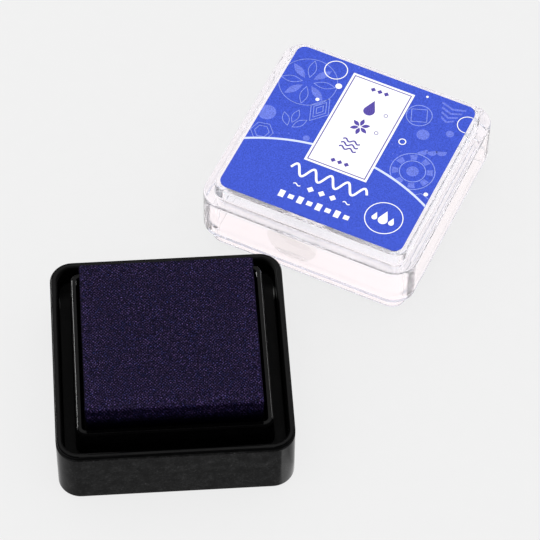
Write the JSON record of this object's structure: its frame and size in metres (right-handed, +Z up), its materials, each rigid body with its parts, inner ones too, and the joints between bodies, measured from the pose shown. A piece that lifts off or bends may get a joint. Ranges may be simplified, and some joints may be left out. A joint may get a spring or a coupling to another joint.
{
  "type": "ink pad",
  "caption": "Small square craft ink pad shown open: black tray with a raised cloth-covered pad, and a clear push-on lid with a printed label lying beside it.",
  "frame": {"origin": "on the table under the middle of the tray, which is the middle of the hollow foot's mouth", "axes": "+X along the tray's width to the right, +Y to the tray's back, +Z up out of the inked face; the lid lies behind and to the right"},
  "size_m": [0.0656, 0.0709, 0.0154],
  "materials": {
    "tray_plastic": "black moulded polystyrene, satin gloss with fine handling scratches",
    "plain_sticker": "plain white coated paper sticker",
    "adhesive_film": "translucent double-sided adhesive film",
    "inked_foam": "open-cell foam soaked in blue-violet ink",
    "inked_cloth": "fine plain-weave cloth soaked in deep blue-violet ink",
    "clear_plastic": "clear polished polystyrene",
    "label_film": "printed film, soft gloss, blue with paler motifs"
  },
  "bodies": {
    "tray": {"base_tray": "tray_plastic", "base_sticker": "plain_sticker", "pad_adhesive": "adhesive_film", "pad_foam": "inked_foam"},
    "pad_face": {"pad_cloth": "inked_cloth"},
    "lid": {"lid_shell": "clear_plastic", "lid_label": "label_film"}
  },
  "joints": [
    {"name": "pad_press", "type": "slide", "parent": "tray", "child": "pad_face", "axis": [0, 0, 1], "range_m": [-0.0012, 0], "stiffness_N_per_m": 1000, "deforming": ["pad_foam"]},
    {"name": "lid_lift", "type": "slide", "parent": "tray", "child": "lid", "axis": [0, 0, 1], "range_m": [0, 0.03]}
  ]
}
